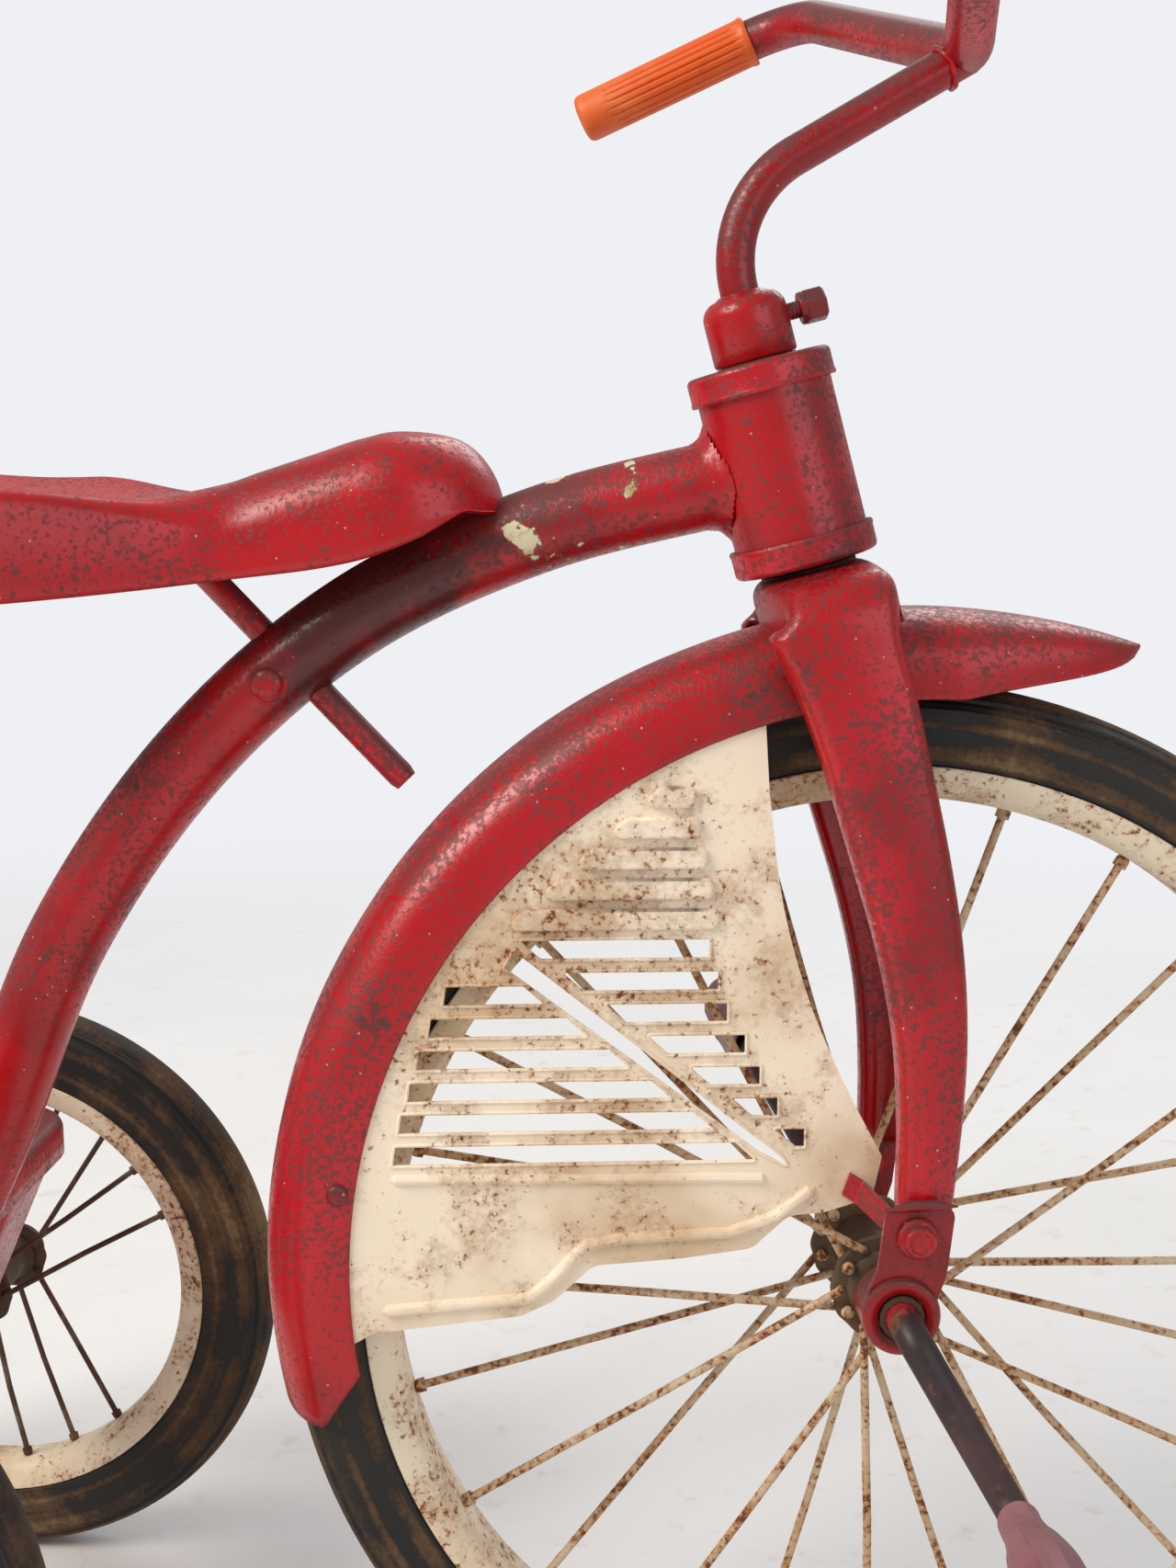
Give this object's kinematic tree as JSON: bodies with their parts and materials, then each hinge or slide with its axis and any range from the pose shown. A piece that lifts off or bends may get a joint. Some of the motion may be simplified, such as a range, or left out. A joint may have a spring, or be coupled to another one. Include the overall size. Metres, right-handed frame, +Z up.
{
  "type": "children's tricycle",
  "caption": "Steel children's tricycle with a curved tube backbone, pressed saddle, steering fork, mudguard with a slotted side skirt, spoked wheels and pedals on the front axle.",
  "frame": {"origin": "on the ground, under the middle of the bounding box", "axes": "+X forward, +Y to the rider's left, +Z up; the front wheel stands turned 8.5 degrees to the left at rest"},
  "size_m": [0.6976, 0.3756, 0.6645],
  "materials": {
    "red_paint": "worn gloss enamel with dust and rust specks",
    "cream_paint": "worn cream enamel with rust specks",
    "tyre_rubber": "matt, dusty",
    "orange_grip": "soft satin, moulded flutes",
    "pedal_rubber": "smooth, faded",
    "bare_steel": "darkened and rusty"
  },
  "bodies": {
    "frame": {"head_tube": "red_paint", "upper_head_cap": "red_paint", "lower_head_cap": "red_paint", "upper_head_bush": "bare_steel", "lower_head_bush": "bare_steel", "backbone_tube": "red_paint", "seat_clamp_bolt": "red_paint", "seat_clamp_nut": "red_paint", "step_deck": "red_paint", "left_axle_leg": "red_paint", "right_axle_leg": "red_paint", "axle_sleeve": "red_paint", "rear_axle": "bare_steel", "left_axle_cap": "bare_steel", "right_axle_cap": "bare_steel"},
    "seat": {"seat_pan": "red_paint", "seat_post": "red_paint", "seat_bracket": "bare_steel"},
    "steering": {"fork": "red_paint", "crown_race": "bare_steel", "steerer_tube": "bare_steel", "stem_collar": "red_paint", "collar_set_bolt": "red_paint", "left_crank_bracket": "red_paint", "right_crank_bracket": "red_paint", "left_axle_bush": "bare_steel", "right_axle_bush": "bare_steel", "left_bracket_bolt": "red_paint", "right_bracket_bolt": "red_paint", "front_fender": "red_paint", "skirt_rivet": "red_paint", "right_skirt": "cream_paint"},
    "handlebar": {"handlebar": "red_paint", "handlebar_stem": "red_paint", "left_grip": "orange_grip", "right_grip": "orange_grip"},
    "front_wheel": {"front_tyre": "tyre_rubber", "front_rim": "cream_paint", "front_hub": "bare_steel", "left_front_spokes": "cream_paint", "right_front_spokes": "cream_paint", "crank_axle": "bare_steel", "left_pedal_cap": "bare_steel", "right_pedal_cap": "bare_steel"},
    "left_pedal": {"left_pedal": "pedal_rubber"},
    "right_pedal": {"right_pedal": "pedal_rubber"},
    "left_rear_wheel": {"left_rear_tyre": "tyre_rubber", "left_rear_rim": "cream_paint", "left_rear_hub": "bare_steel", "left_rear_outer_spokes": "cream_paint", "left_rear_inner_spokes": "cream_paint"},
    "right_rear_wheel": {"right_rear_tyre": "tyre_rubber", "right_rear_rim": "cream_paint", "right_rear_hub": "bare_steel", "right_rear_outer_spokes": "cream_paint", "right_rear_inner_spokes": "cream_paint"}
  },
  "joints": [
    {"name": "steering_turn", "type": "hinge", "parent": "frame", "child": "steering", "pos_m": [0.11278, 0.00154, 0.47366], "axis": [-0.2588, 0, 0.9659], "range_deg": [-88.5, 71.5]},
    {"name": "front_wheel_spin", "type": "hinge", "parent": "steering", "child": "front_wheel", "pos_m": [0.14764, -0.00389, 0.2033], "axis": [-0.1428, 0.989, -0.0383], "continuous": true},
    {"name": "left_pedal_spin", "type": "hinge", "parent": "front_wheel", "child": "left_pedal", "pos_m": [0.09932, 0.11489, 0.25236], "axis": [-0.1428, 0.989, -0.0383], "continuous": true},
    {"name": "right_pedal_spin", "type": "hinge", "parent": "front_wheel", "child": "right_pedal", "pos_m": [0.19595, -0.12267, 0.15425], "axis": [-0.1428, 0.989, -0.0383], "continuous": true},
    {"name": "left_rear_wheel_spin", "type": "hinge", "parent": "frame", "child": "left_rear_wheel", "pos_m": [-0.22475, 0.14154, 0.124], "axis": [0, 1, 0], "continuous": true},
    {"name": "right_rear_wheel_spin", "type": "hinge", "parent": "frame", "child": "right_rear_wheel", "pos_m": [-0.22475, -0.13846, 0.124], "axis": [0, 1, 0], "continuous": true},
    {"name": "seat_height", "type": "slide", "parent": "frame", "child": "seat", "axis": [-0.6947, 0, 0.7193], "range_m": [0, 0.03]},
    {"name": "handlebar_height", "type": "slide", "parent": "steering", "child": "handlebar", "axis": [-0.2588, 0, 0.9659], "range_m": [0, 0.025]}
  ]
}
